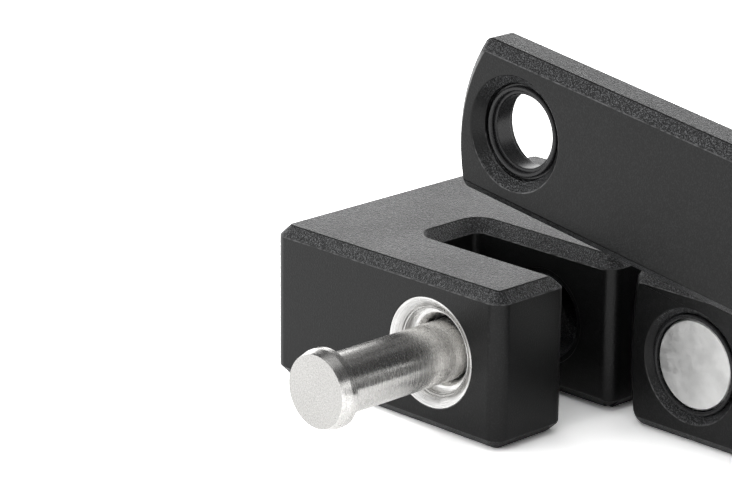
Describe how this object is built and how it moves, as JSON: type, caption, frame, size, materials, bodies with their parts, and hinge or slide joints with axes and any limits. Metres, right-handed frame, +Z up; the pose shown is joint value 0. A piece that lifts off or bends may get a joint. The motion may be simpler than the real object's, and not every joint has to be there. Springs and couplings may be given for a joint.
{
  "type": "pull-pin swing-bar latch",
  "caption": "Swing-bar latch: a forked keeper with a headed pull pin, and a flat arm pivoted on a base bar that drops into the keeper's slot and is pinned there.",
  "frame": {"origin": "under the middle of the stored latch's bounding box, on the plane of the bars' undersides", "axes": "+X from the keeper to the arm's pivot, +Y from the front to the mounting faces, +Z up"},
  "size_m": [0.2754, 0.0838, 0.058],
  "materials": {
    "anodised_black": "bead-blasted, black hard anodised",
    "stainless_turned": "fine turned",
    "stainless_brushed": "ground shaft, brushed face",
    "stainless_satin": "satin, handled",
    "black_oxide": "smooth black oxide",
    "bronze": "sintered bearing bronze",
    "nitrile": "matt"
  },
  "bodies": {
    "base": {"keeper_block": "anodised_black", "pin_bush": "stainless_turned", "pin_o_ring": "nitrile", "socket_bush": "black_oxide", "bush_grub_screws": "black_oxide", "keeper_inserts": "stainless_turned", "pivot_bolt": "stainless_turned", "disc_spring": "black_oxide", "pressure_washer": "stainless_turned", "thrust_washer": "bronze", "lock_nut": "stainless_turned", "nut_washer": "stainless_turned", "stop_dowel": "stainless_turned", "base_bar": "anodised_black", "anchor_rings": "black_oxide", "anchor_barrels": "stainless_satin", "bar_grub_screws": "black_oxide"},
    "arm": {"swing_arm": "anodised_black", "arm_rings": "black_oxide", "arm_liner": "black_oxide", "pivot_bush": "bronze"},
    "pin": {"pull_pin": "stainless_brushed", "pin_clip": "black_oxide"}
  },
  "joints": [
    {"name": "arm_hinge", "type": "hinge", "parent": "base", "child": "arm", "pos_m": [0.1237, -0.00285, 0.0125], "axis": [0, 1, 0], "range_deg": [-8.12, 90]},
    {"name": "pin_slide", "type": "slide", "parent": "base", "child": "pin", "axis": [0, 1, 0], "range_m": [0, 0.0234]}
  ]
}
